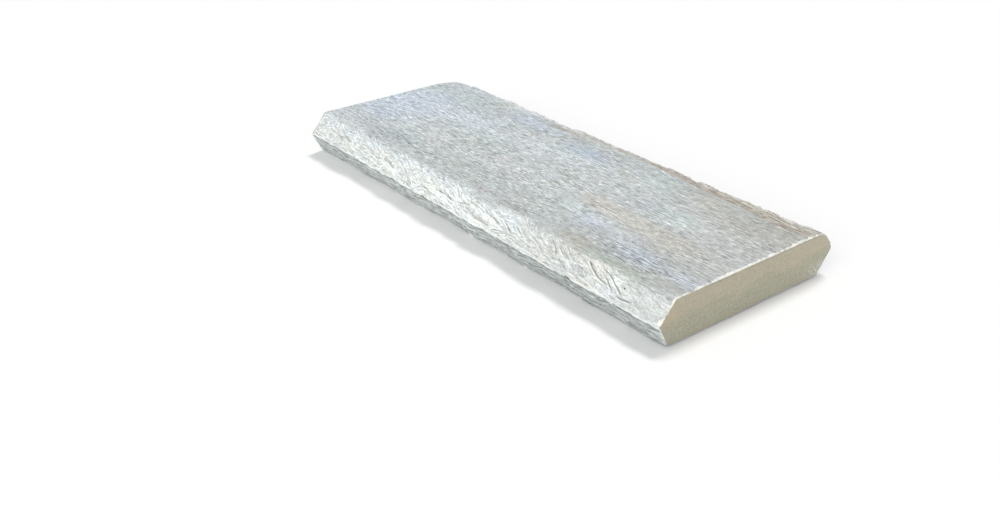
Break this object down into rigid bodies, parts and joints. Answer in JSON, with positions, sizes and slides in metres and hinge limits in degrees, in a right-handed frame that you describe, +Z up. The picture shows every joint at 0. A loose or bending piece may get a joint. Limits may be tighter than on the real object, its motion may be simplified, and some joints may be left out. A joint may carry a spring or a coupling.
{
  "type": "wall coping stone",
  "caption": "Flat rectangular sandstone coping for the top of a wall, with a riven top, sawn ends and hand-dressed, undercut long edges.",
  "frame": {"origin": "centre of the bed face, the flat underside that beds on the wall", "axes": "+X along the wall, +Y across the wall, +Z up from the bed face to the riven top"},
  "size_m": [0.6, 0.25, 0.05],
  "materials": {
    "sandstone": "riven top, rock-faced long edges, sawn ends"
  },
  "bodies": {
    "root": {"coping_stone": "sandstone"}
  },
  "joints": []
}
